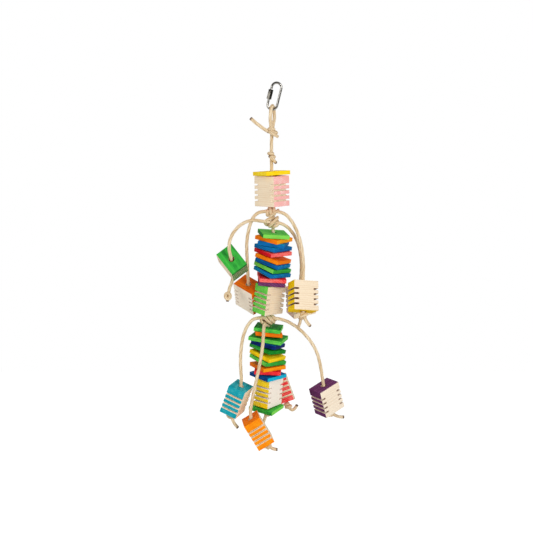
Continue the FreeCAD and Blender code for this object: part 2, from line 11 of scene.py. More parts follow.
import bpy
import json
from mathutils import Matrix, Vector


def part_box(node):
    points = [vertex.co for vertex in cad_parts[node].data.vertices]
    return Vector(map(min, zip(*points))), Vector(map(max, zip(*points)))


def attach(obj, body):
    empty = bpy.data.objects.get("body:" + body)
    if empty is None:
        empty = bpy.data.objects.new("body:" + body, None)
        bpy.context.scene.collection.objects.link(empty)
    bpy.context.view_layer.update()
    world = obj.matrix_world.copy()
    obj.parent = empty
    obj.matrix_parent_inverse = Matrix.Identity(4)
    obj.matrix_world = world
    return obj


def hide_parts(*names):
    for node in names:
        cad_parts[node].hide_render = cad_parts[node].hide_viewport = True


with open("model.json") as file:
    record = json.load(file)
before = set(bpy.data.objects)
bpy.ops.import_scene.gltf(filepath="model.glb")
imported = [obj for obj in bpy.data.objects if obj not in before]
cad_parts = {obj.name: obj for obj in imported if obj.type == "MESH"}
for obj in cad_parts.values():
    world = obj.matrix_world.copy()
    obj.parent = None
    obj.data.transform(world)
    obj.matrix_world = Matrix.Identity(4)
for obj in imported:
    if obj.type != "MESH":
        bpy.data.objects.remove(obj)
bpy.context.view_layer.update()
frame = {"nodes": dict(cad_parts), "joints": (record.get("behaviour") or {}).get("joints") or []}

# %% Imports
import json
import math

import bmesh
import bpy
import numpy as np
from mathutils import Matrix, Quaternion, Vector

print("Blender", bpy.app.version_string)

# %% [markdown]
# ## Camera
#
# A product photograph is taken with a long lens from far away, so that upright edges stay
# parallel. A short lens from close by would frame the toy too, but would bend it out of shape. The
# camera looks down by 12.5 degrees, which shows the tops of the slats.

# %% Camera
SENSOR = 36
LENS = 65.2
NEAREST = 0.05
ELEVATION = math.radians(12.5)
DISTANCE = 1.6
TARGET = Vector((-0.01607, 0.0, -0.29746))
scene = bpy.context.scene
scene.view_settings.view_transform = "Standard"
camera = bpy.data.objects.new("camera", bpy.data.cameras.new("camera"))
camera.data.sensor_width = SENSOR
camera.data.lens = LENS
camera.data.clip_start = NEAREST
away = Vector((0, -math.cos(ELEVATION), math.sin(ELEVATION)))
camera.location = TARGET + away * DISTANCE
camera.rotation_euler = (math.pi / 2 - ELEVATION, 0, 0)
scene.collection.objects.link(camera)
scene.camera = camera
print("camera", [round(value, 3) for value in camera.location])


# %% [markdown]
# ## Shader helpers
#
# Pictures could be wrapped round the pieces, but would need unwrapped meshes. The materials here
# are formulas of noise and of values stored on the mesh. `Socket` wraps the output of a shader
# node, so that a formula is written with + - * and **, and each operator adds one Math node.

# %% Sockets in formulas


class Socket:
    """The output of a shader node, for use in formulas."""

    def __init__(self, shader, output):
        self.shader = shader
        self.output = output

    def maths(self, operation, first, second=None):
        values = {0: first} if second is None else {0: first, 1: second}
        return self.shader.add("ShaderNodeMath", {"operation": operation}, values)

    def __add__(self, other):
        return self.maths("ADD", self, other)

    def __radd__(self, other):
        return self.maths("ADD", other, self)

    def __sub__(self, other):
        return self.maths("SUBTRACT", self, other)

    def __rsub__(self, other):
        return self.maths("SUBTRACT", other, self)

    def __mul__(self, other):
        return self.maths("MULTIPLY", self, other)

    def __rmul__(self, other):
        return self.maths("MULTIPLY", other, self)

    def __pow__(self, other):
        return self.maths("POWER", self, other)

    def sine(self):
        return self.maths("SINE", self)

    def absolute(self):
        return self.maths("ABSOLUTE", self)

    def part(self, axis):
        """One coordinate of a vector: 0, 1 or 2."""
        return self.shader.add("ShaderNodeSeparateXYZ", None, {0: self}, axis)

    def ramp(self, low, high):
        """0 below low, 1 above high, and a smooth change between them."""
        settings = {"interpolation_type": "SMOOTHSTEP"}
        return self.shader.add("ShaderNodeMapRange", settings, {0: self, 1: low, 2: high})


print("a socket has", [name for name in vars(Socket) if not name.startswith("_")])

# %% [markdown]
# `Shader` adds every other node: first its type and settings, then the values or links of its
# sockets. Each surface ends in one Principled node, and a Bump node gives it relief that is too
# fine to model.

# %% Node trees


class Shader:
    """The node tree of a material or a world."""

    def __init__(self, owner):
        self.owner = owner
        owner.use_nodes = True
        self.tree = owner.node_tree
        self.tree.nodes.clear()

    def add(self, kind, settings=None, inputs=None, output=0):
        node = self.tree.nodes.new(kind)
        for key, value in (settings or {}).items():
            setattr(node, key, value)
        for key, value in (inputs or {}).items():
            if isinstance(value, Socket):
                self.tree.links.new(value.output, node.inputs[key])
            else:
                node.inputs[key].default_value = value
        return Socket(self, node.outputs[output])

    def attribute(self, name, vector=False):
        settings = {"attribute_name": name}
        return self.add("ShaderNodeAttribute", settings, output="Vector" if vector else "Fac")

    def scaled(self, vector, scale):
        return self.add("ShaderNodeVectorMath", {"operation": "MULTIPLY"}, {0: vector, 1: scale})

    def noise(self, vector, scale, detail=2.0, roughness=0.5):
        inputs = {"Vector": vector, "Scale": scale, "Detail": detail, "Roughness": roughness}
        return self.add("ShaderNodeTexNoise", None, inputs)

    def mix(self, factor, first, second, blend="MIX"):
        """A colour between two colours, or one blended with the other."""
        settings = {"data_type": "RGBA", "blend_type": blend}
        return self.add("ShaderNodeMix", settings, {0: factor, 6: first, 7: second}, output=2)

    def finish(self, bump=None, distance=0.0002, **inputs):
        """The Principled surface and the material output."""
        if bump is not None:
            heights = {"Height": bump, "Distance": distance, "Strength": 1.0}
            inputs["Normal"] = self.add("ShaderNodeBump", None, heights)
        inputs = {key.replace("_", " "): value for key, value in inputs.items()}
        self.show(self.add("ShaderNodeBsdfPrincipled", None, inputs))
        return self.owner

    def show(self, surface, kind="Material"):
        output = self.tree.nodes.new(f"ShaderNodeOutput{kind}")
        self.tree.links.new(surface.output, output.inputs["Surface"])


print("a shader has", [name for name in vars(Shader) if not name.startswith("_")])

# %% [markdown]
# Colours are given from 0 to 255, as a screen shows them. The renderer works in linear
# values, so each is converted once.

# %% Colours


def linear(red, green, blue):
    """A colour as a screen shows it, from 0 to 255, in the renderer's linear values."""
    shares = [value / 255 for value in (red, green, blue)]
    values = [s / 12.92 if s < 0.04045 else ((s + 0.055) / 1.055) ** 2.4 for s in shares]
    return (*values, 1.0)


print("mid grey in linear values:", round(linear(128, 128, 128)[0], 3))

# %% [markdown]
# ## Studio
#
# The background of the photograph is pure white. Here the world is white to the camera only, so
# the white adds no light. The toy itself hangs in a soft room that is brighter on its right and
# above it.
#
# Steel shows what it reflects, and in an all-white room it would look like plaster. For
# reflections the room is therefore white behind the toy and dark behind the camera.

# %% World
WHITE = (1, 1, 1, 1)
ROOM_LEVEL = 0.44
ROOM_RIGHT = 0.1
ROOM_ABOVE = 0.25
REFLECTED_DARK = 0.03
studio = Shader(bpy.data.worlds.new("studio"))
scene.world = studio.owner
seen = studio.add("ShaderNodeLightPath", output="Is Camera Ray")
mirrored = studio.add("ShaderNodeLightPath", output="Is Glossy Ray")
direction = studio.add("ShaderNodeTexCoord", output="Generated")
to_right, to_back, to_sky = [direction.part(axis) for axis in range(3)]
room = ROOM_LEVEL + to_right.ramp(-0.7, 0.7) * ROOM_RIGHT + to_sky.ramp(0.2, 0.9) * ROOM_ABOVE
reflected = REFLECTED_DARK + to_back.ramp(-0.1, 0.6) * (1 - REFLECTED_DARK)
strength = seen + (1 - seen) * (mirrored * reflected + (1 - mirrored) * room)
light_of_room = {"Color": WHITE, "Strength": strength}
studio.show(studio.add("ShaderNodeBackground", None, light_of_room), "World")
print("the world has", len(studio.tree.nodes), "nodes")

# %% [markdown]
# A key light stands at the right and a weaker one at the left. Both are large, for the soft shadows
# of the photograph. Together with the room they light a surface that faces them at a level of about
# one, so a colour renders as it is written.

# %% Lights
LIGHTS = {
    "key_light": {"place": (0.95, -1.75, 0.25), "width": 0.7, "power": 17},
    "fill_light": {"place": (-1.5, -1.2, 0.0), "width": 0.9, "power": 8.5},
}


def soft_light(name, place, width, power):
    """A square area light that faces the toy."""
    light = bpy.data.lights.new(name, "AREA")
    light.size = width
    light.energy = power
    lamp = bpy.data.objects.new(name, light)
    lamp.location = place
    lamp.rotation_euler = (TARGET - Vector(place)).to_track_quat("-Z", "Y").to_euler()
    scene.collection.objects.link(lamp)


for name, facts in LIGHTS.items():
    soft_light(name, **facts)

# %% [markdown]
# The floor is a sheet of pale paper well below the hanging toy. To the camera it glows, so that it
# meets the white background without an edge, and to the toy it is plain matt paper.

# %% Floor
FLOOR_HALF = 3.0
FLOOR_LEVEL = -1.5
PAPER = (0.85, 0.85, 0.85, 1)
PAPER_GLOW = 1.25
GLOW_SEEN = 0.75
floor = bpy.data.objects.new("floor", bpy.data.meshes.new("floor"))
signs = ((-1, -1), (1, -1), (1, 1), (-1, 1))
corners = [(x * FLOOR_HALF, y * FLOOR_HALF, FLOOR_LEVEL) for x, y in signs]
floor.data.from_pydata(corners, [], [(0, 1, 2, 3)])
scene.collection.objects.link(floor)
paper = Shader(bpy.data.materials.new("paper"))
seen = paper.add("ShaderNodeLightPath", output="Is Camera Ray")
matt = paper.add("ShaderNodeBsdfDiffuse", None, {"Color": PAPER})
glow = paper.add("ShaderNodeEmission", None, {"Strength": PAPER_GLOW})
paper.show(paper.add("ShaderNodeMixShader", None, {0: seen * GLOW_SEEN, 1: matt, 2: glow}))
floor.data.materials.append(paper.owner)
print("the floor is", -FLOOR_LEVEL, "m below the hang point")

# %% [markdown]
# ## Where each wooden piece is
#
# The slats and blocks are loose on their ropes, so each has its own turn and lean. Typed here once
# more, these angles could drift from the CAD, so they are read from its meshes. The flat faces of a
# piece give three directions, and the extents along them tell which is which: a block is 49 mm
# high, 42 mm wide and 30 or 38 mm deep, and a slat is thinnest along its hole.

# %% Own axes of a wooden piece
SAME_WAY = 0.7
HALF_OF_THINNEST_BLOCK = 0.005


def mesh_arrays(mesh):
    """The places of the points of a mesh, and the normals and areas of its faces."""
    points = np.array([vertex.co for vertex in mesh.vertices])
    normals = np.array([face.normal for face in mesh.polygons])
    areas = np.array([face.area for face in mesh.polygons])
    return points, normals, areas


def flat_directions(normals, areas):
    """Three directions, square to each other, that the largest faces have."""
    left = areas.copy()
    found = []
    for _ in range(3):
        best = normals[np.argmax(left)]
        found.append(best)
        left[abs(normals @ best) > SAME_WAY] = 0.0
    return found


def own_frame(node):
    """The centre of a wooden piece, its axes X, Y and Z (the hole) and its half sizes."""
    points, normals, areas = mesh_arrays(frame["nodes"][node].data)
    rows = []
    for direction in flat_directions(normals, areas):
        spread = points @ direction
        low, high = spread.min(), spread.max()
        rows.append(((high - low) / 2, direction, (high + low) / 2))
    rows.sort(key=lambda row: row[0])
    is_slat = rows[0][0] < HALF_OF_THINNEST_BLOCK
    order = (2, 1, 0) if is_slat else (1, 0, 2)
    halves = [rows[index][0] for index in order]
    axes = [Vector(rows[index][1]).normalized() for index in order]
    middles = [rows[index][2] for index in order]
    centre = sum((axis * middle for axis, middle in zip(axes, middles)), Vector())
    if axes[2].z < 0:
        axes[2] = -axes[2]
    axes[1] = axes[2].cross(axes[0])
    return centre, axes, halves


wooden = [name for name in frame["nodes"] if "slat" in name or name.endswith("block")]
frames = {name: own_frame(name) for name in wooden}
for name in ("cap_slat", "top_block", "lower_slat_03_long_green"):
    print(name, "measures", [round(half * 2000, 1) for half in frames[name][2]], "mm")

# %% [markdown]
# ## Where each rope runs
#
# A simulated rope would hang well, but not as the one in the photograph does. Each route is a list
# of points chosen along the rope, the same ones as in the CAD. The end of a side rope follows its
# block: over the hole, inside it, below the stopper knot, and then the tail. Most ropes lie loose
# in the hole, and the green block's is pinched to one side.

# %% Points of a route
ROPE = 0.0056
MM = 0.001
ABOVE_HOLE = 3.5
LOOSE = (0.7, 0.4, 2)
PINCHED = (0.4, -1.6, 2)


def middle_of(node):
    low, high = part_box(node)
    return (low + high) / 2


def height_of(node, above=0.0):
    """The height of a wooden piece's centre, or of a place some millimetres above it."""
    return frames[node][0].z + above * MM


def from_point(point, offsets):
    """Points at offsets in millimetres from a place."""
    return [point + Vector(offset) * MM for offset in offsets]


def in_piece(node, x, y, z):
    """A point in the own axes of a wooden piece, in millimetres from its centre."""
    centre, axes, _ = frames[node]
    return centre + (axes[0] * x + axes[1] * y + axes[2] * z) * MM


def threaded(block, below, tail, inside=LOOSE):
    """The route over a hanging block and through its hole, down to where the rope bends."""
    end = frames[block][2][2] / MM
    over = in_piece(block, 0, 0, end + ABOVE_HOLE)
    bend = in_piece(block, 0, 0, -end - below)
    return [over, in_piece(block, *inside), bend] + from_point(bend, tail)


for point in threaded("lower_teal_block", 0, ()):
    print("the teal block's rope passes", [round(value * 1000) for value in point])

# %% [markdown]
# Four side ropes cross the main rope, two at the upper ties and two at the lower one, and a block
# hangs on each of their eight arms. A rope below has its tie, its first block, its points from one
# block to the other in millimetres from the tie, and its last block. With each block is how far
# below it the rope bends, and the points of its tail from there.

# %% Side ropes
BELOW_KNOT = 15.0
HALF_TIE = 0.0085
upper_tie = Vector((-0.0045, 0.0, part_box("upper_tie_knots")[1].z - HALF_TIE))
lower_tie = Vector((-0.0135, 0.0, middle_of("lower_tie_knot").z))
SIDE_ROPES = {
    "upper_rope_1": (
        upper_tie,
        ("upper_orange_block", BELOW_KNOT, ((8.4, -2, -3),)),
        (
            (-43.5, -5, -80), (-44.5, -6.5, -49), (-39.5, -6.8, -22), (-31, -7, -3.5),
            (-17, -7.1, 2), (11.5, -7.1, 1), (24, -7, -6.5), (36, -7.2, -25), (45, -8, -50),
            (49.5, -10, -82),
        ),
        ("upper_yellow_block", BELOW_KNOT, ((11.8, 5, -10.8),)),
    ),
    "upper_rope_2": (
        upper_tie,
        ("upper_green_block", 11.0, ((-2, -2, -22), (-9, -3.5, -37.5), (-11, -4, -57)), PINCHED),
        (
            (-71, -61.5, -52.5), (-70.5, -60, -37), (-63.5, -47, -24), (-50.5, -30, -14),
            (-33.5, -15, -11), (-17, -7.4, -15.5), (11, -6.8, -17.5), (24, -3, -25.5),
            (36.5, 6, -43), (44.5, 17, -67.5), (48, 31, -98),
        ),
        ("upper_pink_block", BELOW_KNOT, ((-6, -3, -12),)),
    ),
    "lower_rope_1": (
        lower_tie,
        ("lower_teal_block", BELOW_KNOT, ((14.9, -1, -15),)),
        (
            (-46.3, -28, -68), (-45, -20, -42), (-39.5, -13, -16), (-28.5, -8, 0.5),
            (-17, -6.5, 5), (13, -6.5, 4), (31, -6.3, -0.5), (50, -6, -12.5), (68, -6, -30.5),
            (82, -7, -53), (89, -8, -80),
        ),
        ("lower_purple_block", BELOW_KNOT, ((21.5, -1, 1),)),
    ),
    "lower_rope_2": (
        lower_tie,
        ("lower_orange_block", BELOW_KNOT, ((13, 0, 0.5),)),
        (
            (-26.5, -47.5, -126), (-20, -41.5, -95), (-13.5, -38.5, -66), (-9, -37, -38),
            (-7.5, -34.5, -13.5), (-6.5, -20, -3.5), (-6.5, 16, -4.5), (-4.8, 34, -11.5),
            (-0.5, 45, -33), (5, 51, -62), (10.5, 54.5, -92),
        ),
        ("lower_red_block", BELOW_KNOT, ((9.3, 1, 0.4), (13.3, 2, 9.4))),
    ),
}
routes = {}
for name, (tie, first_end, offsets, last_end) in SIDE_ROPES.items():
    routes[name] = threaded(*first_end)[::-1] + from_point(tie, offsets) + threaded(*last_end)
print("points:", {name: len(route) for name, route in routes.items()})

# %% [markdown]
# The main rope starts below the base slat, climbs through every hole of the stacks, goes round the
# bottom wire of the quick link and comes back to its knot. The cut end that leaves this knot is a
# route of its own.

# %% Main rope
HALF_KNOT = 0.0065
knots_low, knots_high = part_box("main_rope_knots")
end_knot = Vector((-0.017, 0, knots_low.z + HALF_KNOT))
loop_knot = Vector((-0.0055, 0, knots_high.z - HALF_KNOT))
swing_point = Vector(next(j["pos_m"] for j in frame["joints"] if j["name"] == "toy_swing"))
upper_names = sorted(name for name in wooden if name.startswith("upper_slat"))
lower_names = sorted(name for name in wooden if name.startswith("lower_slat"))
round_link = ((4, 6.2, -13), (1.6, 5.8, 5.8), (-1.6, -5.8, 5.8), (-3.8, -6.2, -12.5))
routes["main_rope"] = [
    *from_point(end_knot, ((-6.5, -3, -20), (0, 0, -9))),
    Vector((-0.0144, -0.0003, height_of("lower_block", -14))),
    Vector((-0.0119, 0.0005, height_of("lower_block", 20))),
    Vector((-0.0138, 0, height_of(lower_names[5]))),
    Vector((-0.0129, 0.0003, height_of(lower_names[1]))),
    Vector((-0.0138, 0, height_of("centre_block", -18))),
    Vector((-0.009, 0.0002, height_of("centre_block", 20))),
    Vector((-0.006, 0, height_of(upper_names[6]))),
    Vector((-0.0046, 0.0004, height_of(upper_names[0], -4))),
    Vector((-0.0068, -0.0006, height_of("top_block", -19))),
    Vector((-0.0075, 0.0012, height_of("top_block", 20))),
    Vector((-0.0084, 0.0015, loop_knot.z - 0.014)),
    *from_point(loop_knot, ((-1, 3.3, 7.5),)),
    *from_point(swing_point, round_link),
    *from_point(loop_knot, ((-3.4, -3.3, 9), (-2.4, -3.3, -2))),
]
routes["loop_tail"] = from_point(loop_knot, ((-6.1, -2, 1), (-20, -3, 9), (-36.5, -1, 23.5)))
print("the main rope turns round the link", round(-swing_point.z * 1000), "mm below the hang point")

# %% [markdown]
# A NURBS curve of order three rounds off the corners of a route and keeps close to its points, so
# the rope bends softly and never overshoots. A Bezier curve would need a handle at each point.
# Blender works out the curve, and its points are then spaced evenly for the sweep that follows.

# %% Smooth lines
CURVE_STEPS = 24
CURVE_ORDER = 3
ROPE_STEP = 0.001
FEWEST_STEPS = 8


def travel(line):
    """The distance along a line to each of its points."""
    return np.concatenate([[0], np.cumsum(np.linalg.norm(np.diff(line, axis=0), axis=1))])


def length_of(line):
    return float(travel(line)[-1])


def points_at(line, stations):
    """The points of a line at some distances along it."""
    travelled = travel(line)
    return np.stack([np.interp(stations, travelled, line[:, k]) for k in range(3)], axis=1)


def evenly(line, step):
    """The same line with points that lie a step apart."""
    length = length_of(line)
    return points_at(line, np.linspace(0, length, max(int(length / step), FEWEST_STEPS)))


def smooth_line(name, points, step=ROPE_STEP):
    """The points of a NURBS curve along a route, close together and evenly spaced."""
    curve = bpy.data.curves.new(name, "CURVE")
    curve.dimensions = "3D"
    curve.resolution_u = CURVE_STEPS
    spline = curve.splines.new("NURBS")
    spline.points.add(len(points) - 1)
    for control, point in zip(spline.points, points):
        control.co = (*point, 1.0)
    spline.order_u = CURVE_ORDER
    spline.use_endpoint_u = True
    guide = bpy.data.objects.new(name, curve)
    mesh = bpy.data.meshes.new_from_object(guide)
    line = np.array([vertex.co for vertex in mesh.vertices])
    bpy.data.objects.remove(guide)
    bpy.data.meshes.remove(mesh)
    return evenly(line, step)


lines = {name: smooth_line(name, points) for name, points in routes.items()}
for name, line in lines.items():
    print(name, "is", round(length_of(line) * 1000), "mm long")

# %% [markdown]
# ## Rope material
#
# The rope is pale plant fibre, softly twisted. Its fibres run along the strands, so the noise is
# stretched along them: the `strand` attribute holds the distance along the rope and the direction
# round it. A texture in plain space would cut across the fibres at every bend. The grooves between
# the strands are darkened with painted shade, and the cut ends are brown.

# %% Rope material
FIBRE = linear(243, 222, 186)
OLDER_FIBRE = linear(224, 196, 153)
BROWN_FIBRE = linear(166, 126, 82)
# painted shade: the colour of the grooves between the strands
SHADE_IN_GROOVE = linear(150, 108, 66)
BROWN_END = linear(92, 56, 32)
ROPE_FIBRES = (45, 7, 7)
ROPE_PATCHES = (30, 0.6, 0.6)


def rope_material():
    rope = Shader(bpy.data.materials.new("twisted_rope"))
    strand = rope.attribute("strand", vector=True)
    groove = rope.attribute("groove")
    cut = rope.attribute("cut")
    fibres = rope.noise(rope.scaled(strand, ROPE_FIBRES), 1.0, 4.0, 0.65)
    patches = rope.noise(rope.scaled(strand, ROPE_PATCHES), 1.0, 2.0)
    colour = rope.mix(patches.ramp(0.35, 0.65), FIBRE, OLDER_FIBRE)
    colour = rope.mix(fibres.ramp(0.48, 0.75) * 0.55, colour, BROWN_FIBRE)
    # painted shade: the colour darkens deep in the grooves between the strands
    colour = rope.mix(groove.ramp(0.65, 1.0) * 0.42, colour, SHADE_IN_GROOVE)
    colour = rope.mix(cut.ramp(0.0, 1.0) * 0.9, colour, BROWN_END)
    rough = 0.6 + fibres * 0.25
    return rope.finish(bump=fibres, distance=0.0002, Base_Color=colour, Roughness=rough)


rope_look = rope_material()
print("rope material with", len(rope_look.node_tree.nodes), "nodes")

# %% [markdown]
# ## Twisted rope
#
# Three strands that touch make a section with three lobes. Three tubes would do too, but most of
# them would be hidden inside. Here the outline of all three turns as it is swept along the rope,
# once in every lay length. A sweep along a bent line needs directions square to it that don't spin
# by themselves, so each pair of them is carried over from the point before.

# %% Sweep along a line
START_SIDE = (0.3, 0.9, 0.2)
TUBE_SHARP = math.radians(50)


def carried_frames(line):
    """At each point of a line, two directions square to it."""
    tangents = np.gradient(line, axis=0)
    tangents /= np.linalg.norm(tangents, axis=1)[:, None]
    side = np.cross(tangents[0], START_SIDE)
    side /= np.linalg.norm(side)
    sides = []
    for tangent in tangents:
        side = side - tangent * (side @ tangent)
        side = side / np.linalg.norm(side)
        sides.append(side)
    sides = np.array(sides)
    return sides, np.cross(tangents, sides)


def tube_faces(count, around):
    """Quads between rings of points, and a cap at each end."""
    row, place = np.meshgrid(np.arange(count - 1) * around, np.arange(around), indexing="ij")
    following = (place + 1) % around
    above = row + around
    quads = np.stack([row + place, row + following, above + following, above + place], -1)
    last = (count - 1) * around
    caps = [tuple(range(around))[::-1], tuple(range(last, last + around))]
    return [tuple(quad) for quad in quads.reshape(-1, 4).tolist()] + caps


def tube_mesh(name, line, angle, reach):
    """A closed tube round a line, from the angles of its points and how far out they are."""
    sides, ups = carried_frames(line)
    outward = sides[:, None] * np.cos(angle)[..., None] + ups[:, None] * np.sin(angle)[..., None]
    rings = line[:, None] + outward * reach[..., None]
    count, around, _ = rings.shape
    mesh = bpy.data.meshes.new(name)
    mesh.from_pydata(rings.reshape(-1, 3).tolist(), [], tube_faces(count, around))
    mesh.shade_smooth()
    mesh.set_sharp_from_angle(angle=TUBE_SHARP)
    return mesh


print("a tube of 3 rings with 24 points has", len(tube_faces(3, 24)), "faces")

# %% [markdown]
# The mesh also stores what the rope's material needs: where a point is along the rope and round
# it, how deep in a groove for the painted shade there, and how close to a cut end. Every piece gets
# its finish and the body that it moves with in the same way, so that is one function.

# %% Stored values and new pieces


def write_attribute(mesh, name, kind, values, domain="POINT"):
    layer = mesh.attributes.new(name, kind, domain)
    field = "vector" if kind == "FLOAT_VECTOR" else "value"
    layer.data.foreach_set(field, np.asarray(values, np.float32).reshape(-1))


def new_piece(name, mesh, look, body):
    """A piece of the toy, with its finish and the body that it moves with."""
    mesh.materials.append(look)
    piece = bpy.data.objects.new(name, mesh)
    scene.collection.objects.link(piece)
    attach(piece, body)
    return piece


# %% Twisted rope
LAY = 0.046
STRANDS = 3
PER_STRAND = 8
STRAND_REACH = 0.09
STRAND_RADIUS = 0.41
END_TAPER = 0.004
BROWNED = 0.0028


def lobes_at(place):
    """How far three touching strands reach from the rope's middle, for a rope 1 thick."""
    across = (place % 1 - 0.5) * 2 * math.pi / STRANDS
    bulge = np.sqrt(STRAND_RADIUS**2 - (STRAND_REACH * np.sin(across)) ** 2)
    return STRAND_REACH * np.cos(across) + bulge


def rope_object(name, line, thickness=ROPE, cut_ends=True):
    """A twisted rope along a line."""
    along = travel(line)[:, None]
    from_end = np.minimum(along, along[-1] - along)
    place = np.arange(STRANDS * PER_STRAND)[None, :] / PER_STRAND
    angle = 2 * math.pi * (along / LAY + place / STRANDS)
    closing = np.clip(0.8 + from_end / END_TAPER, 0, 1) if cut_ends else 1 + 0 * along
    mesh = tube_mesh(name, line, angle, thickness * lobes_at(place) * closing)
    turn = 2 * math.pi * place / STRANDS + 0 * along
    groove = np.abs(place % 1 - 0.5) * 2 + 0 * along
    cut = np.clip(1.4 - from_end / BROWNED, 0, 1) * cut_ends + 0 * turn
    strand = np.stack([along + 0 * turn, np.cos(turn), np.sin(turn)], -1)
    write_attribute(mesh, "strand", "FLOAT_VECTOR", strand)
    write_attribute(mesh, "groove", "FLOAT", groove)
    write_attribute(mesh, "cut", "FLOAT", cut)
    return new_piece(name, mesh, rope_look, "toy")


rope_pieces = {name: rope_object(f"{name}_strands", line) for name, line in lines.items()}
faces = sum(len(piece.data.polygons) for piece in rope_pieces.values())
print(len(rope_pieces), "twisted ropes,", faces, "faces")

# %% [markdown]
# ## Knots
#
# In the CAD each knot is a plain bead. A real stopper knot is the same rope wound round itself
# about one and a half times, and a spiral that is pulled in at both ends draws that. The larger
# knots don't repeat, so their strands are laid one by one through a few points each.

# %% Lines of a knot
KNOT_STEP = 0.0008
STEPS_PER_TURN = 48
TUCK = 3.2
TUCKED_IN = 0.08


def turned_frame(axis, spin):
    """An axis of length one and two directions square to it, turned about it."""
    axis = Vector(axis).normalized()
    side = axis.cross(Vector((0.2, 1.0, 0.1))).normalized()
    side.rotate(Quaternion(axis, spin))
    return axis, side, axis.cross(side)


def wound_line(centre, axis, turns, pitch, radius, spin=0.0, lean=0.35):
    """Turns round an axis that start and end inside the rope and lean to one side."""
    axis, side, up = turned_frame(axis, spin)
    steps = int(turns * STEPS_PER_TURN)
    line = []
    for step in range(steps + 1):
        share = step / steps
        angle = 2 * math.pi * turns * share
        tuck = min(1.0, share * turns * TUCK, (1 - share) * turns * TUCK)
        out = radius * (TUCKED_IN + (1 - TUCKED_IN) * math.sin(tuck * math.pi / 2))
        rise = pitch * turns * (share - 0.5) + lean * out * math.cos(angle)
        across = side * math.cos(angle) + up * math.sin(angle)
        line.append(Vector(centre) + across * out + axis * rise)
    return evenly(np.array(line), KNOT_STEP)


def laid_line(centre, *offsets):
    """A strand of a knot through given points, in millimetres from the knot's centre."""
    return smooth_line("strand", from_point(centre, offsets), KNOT_STEP)


turns = wound_line((0, 0, 0), (0, 0, 1), 1.7, 0.0050, 0.0046)
print("a stopper knot takes", round(length_of(turns) * 1000), "mm of rope")

# %% A knot as one piece
KNOT_ROPE = 0.0053


def knot_object(name, *knot_lines, tail=None):
    """A tied knot from one or more lines of rope, as one mesh."""
    pieces = []
    for number, line in enumerate(knot_lines):
        pieces.append(rope_object(f"{name}_{number}", line, KNOT_ROPE, cut_ends=False))
    if tail is not None:
        pieces.append(rope_object(f"{name}_tail", tail, KNOT_ROPE))
    first = pieces[0]
    if len(pieces) > 1:
        with bpy.context.temp_override(active_object=first, selected_editable_objects=pieces):
            bpy.ops.object.join()
    first.name = name
    first.data.name = name
    return first


print("knots are tied in rope", KNOT_ROPE * 1000, "mm thick, pulled a little thinner")

# %% [markdown]
# A stopper knot keeps each hanging block on its rope. Each one is turned by another angle, as no
# two real ones are pulled tight alike. The knot under the green block lies open towards the
# viewer, so it is laid as a ring of rope round a dark eye.

# %% Stopper knots
STOPPER = {"turns": 1.7, "pitch": 0.0050, "radius": 0.0046}
BELOW_BLOCK = 6.75
FIRST_SPIN = 0.4
NEXT_SPIN = 1.7
RING_WIDE = 4.6
RING_HIGH = 5.6
RING_FRONT = -2.6
RING_ALONG_ROPE = 0.48
ring = []
for step in range(9):
    angle = math.radians(60 + 48 * step)
    place = (RING_WIDE * math.cos(angle), RING_FRONT - 0.25 * step, RING_HIGH * math.sin(angle))
    ring.append(place)
ring = [(2, 1.5, 3), *ring, (0.5, 1.5, 3.5)]
stopper_knots = {}
for name, (_, first_end, _, last_end) in SIDE_ROPES.items():
    for block in (first_end[0], last_end[0]):
        if block == "upper_green_block":
            last, before = [Vector(point) for point in routes[name][:2]]
            line = laid_line(before.lerp(last, RING_ALONG_ROPE), *ring)
        else:
            _, axes, halves = frames[block]
            centre = in_piece(block, 0, 0, -halves[2] / MM - BELOW_BLOCK)
            spin = len(stopper_knots) * NEXT_SPIN + FIRST_SPIN
            line = wound_line(centre, -axes[2], spin=spin, **STOPPER)
        stopper_knots[block] = knot_object(block.replace("block", "stopper"), line)
print(len(stopper_knots), "stopper knots")

# %% [markdown]
# Three knots are on the main rope itself: one ends it below the base slat, one keeps the stack from
# sliding up, and one closes the loop through the quick link. The last two show a loose strand
# across their front.

# %% Knots on the main rope
up = Vector((0, 0, 1))
cap_knot = Vector((-0.008, 0, middle_of("cap_slat").z + 0.026))
cap_turns = cap_knot + Vector((0, 0, 0.003))
loop_turns = loop_knot + Vector((-0.0005, 0, 0.003))
cap_tail = ((-3.5, -3.5, 2), (-1.5, -6, 0.5), (3.5, -5.5, -4), (7.5, -3, -9.5))
in_front = ((-6, 1, 3), (-6.5, -4.5, 1.5), (-1, -8.2, -0.5), (6, -6, -5), (7.5, 1, -6), (2, 5, -3))
main_knots = [
    knot_object("end_knot", wound_line(end_knot, up, spin=0.8, **STOPPER)),
    knot_object(
        "cap_knot",
        wound_line(cap_turns, up, turns=1.5, pitch=0.0052, radius=0.0045, spin=0.2),
        tail=laid_line(cap_knot, *cap_tail),
    ),
    knot_object(
        "loop_knot",
        wound_line(loop_turns, up, turns=1.4, pitch=0.0050, radius=0.0060, spin=0.4, lean=0.3),
        laid_line(loop_knot, *in_front),
    ),
]
print("on the main rope:", [piece.name for piece in main_knots])

# %% [markdown]
# The tie knots hold the side ropes to the main one. They are the thickest knots, with strands that
# cross in front of each other. A true knot would need a long calculation to be pulled tight, while
# a few laid strands give the same look from all sides.

